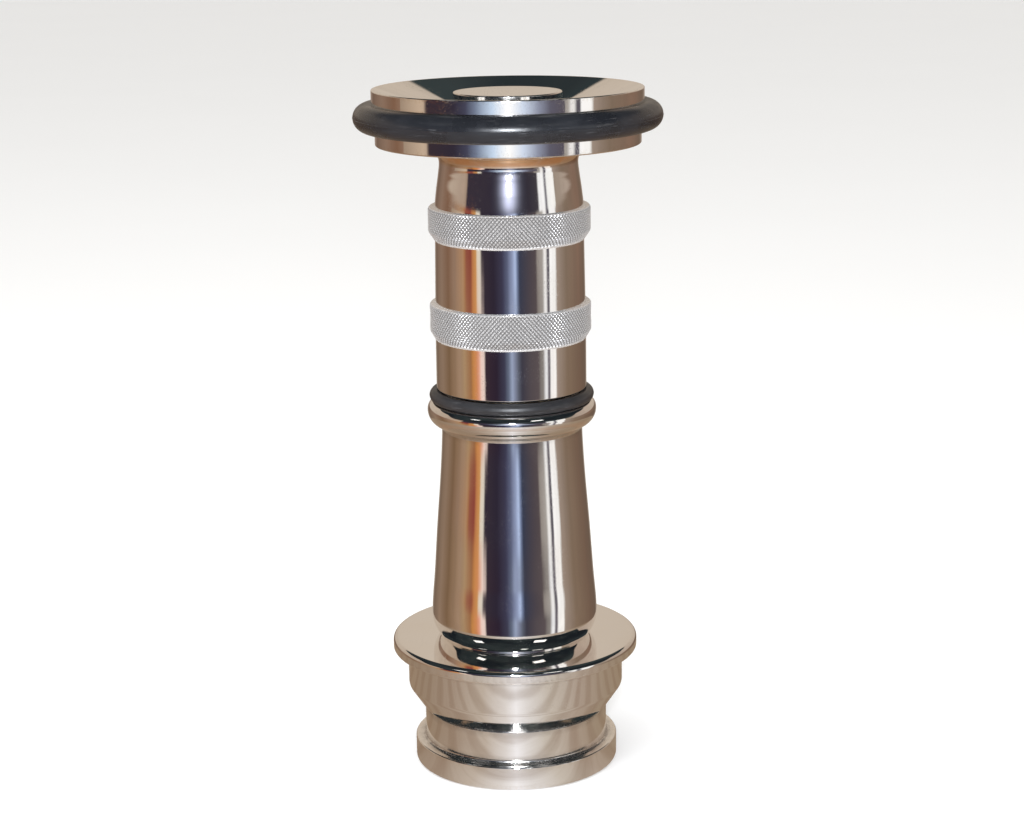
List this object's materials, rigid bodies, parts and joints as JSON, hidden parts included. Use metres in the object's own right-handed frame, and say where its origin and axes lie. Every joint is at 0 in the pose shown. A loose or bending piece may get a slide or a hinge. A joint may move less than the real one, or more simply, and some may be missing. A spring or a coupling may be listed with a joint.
{
  "type": "fire hose nozzle",
  "caption": "Polished twist-sleeve jet and spray branch nozzle with an instantaneous male coupling, tapered barrel, knurled grips, rubber bumper ring and central deflector disc.",
  "frame": {"origin": "centre of the bottom face of the coupling's lip, on the nozzle's axis", "axes": "+Z along the waterway from the coupling to the mouth; the guide screws of the sleeve lie along X and the lock screws at +Y when the nozzle is shut"},
  "size_m": [0.116, 0.116, 0.2642],
  "materials": {
    "polished_metal": "mirror-polished nickel-chrome plating over cast gunmetal",
    "brass": "plain turned brass",
    "steel": "plain stainless steel fasteners",
    "black_rubber": "satin black rubber",
    "bumper_rubber": "semi-gloss black moulded rubber"
  },
  "bodies": {
    "barrel_body": {"male_coupling": "polished_metal", "coupling_gasket": "black_rubber", "coupling_lock_screw": "steel", "barrel": "polished_metal", "buffer_ring": "black_rubber", "rear_seal_ring": "black_rubber", "front_seal_ring": "black_rubber", "stem_spider": "brass", "spider_circlip": "steel", "stem": "brass", "stem_washer": "brass", "stem_nut": "brass", "valve_head": "brass", "valve_seat_rubber": "black_rubber", "seat_clamp_washer": "brass", "seat_clamp_nut": "brass", "deflector": "polished_metal", "deflector_lock_nut": "brass"},
    "wiper": {"wiper_ring": "black_rubber"},
    "sleeve": {"twist_sleeve": "polished_metal", "guide_screws": "steel", "bumper_head": "polished_metal", "head_lock_screw": "steel", "head_seal_ring": "black_rubber", "bumper_ring": "bumper_rubber"}
  },
  "joints": [
    {"name": "sleeve_travel", "type": "slide", "parent": "barrel_body", "child": "wiper", "axis": [0, 0, 1], "range_m": [0, 0.0121]},
    {"name": "sleeve_twist", "type": "hinge", "parent": "wiper", "child": "sleeve", "pos_m": [0, 0, 0.178], "axis": [0, 0, 1], "range_deg": [0, 270]}
  ],
  "couplings": [
    {"joint": "sleeve_travel", "follows": "sleeve_twist", "m_per_rad": 0.0025465}
  ]
}
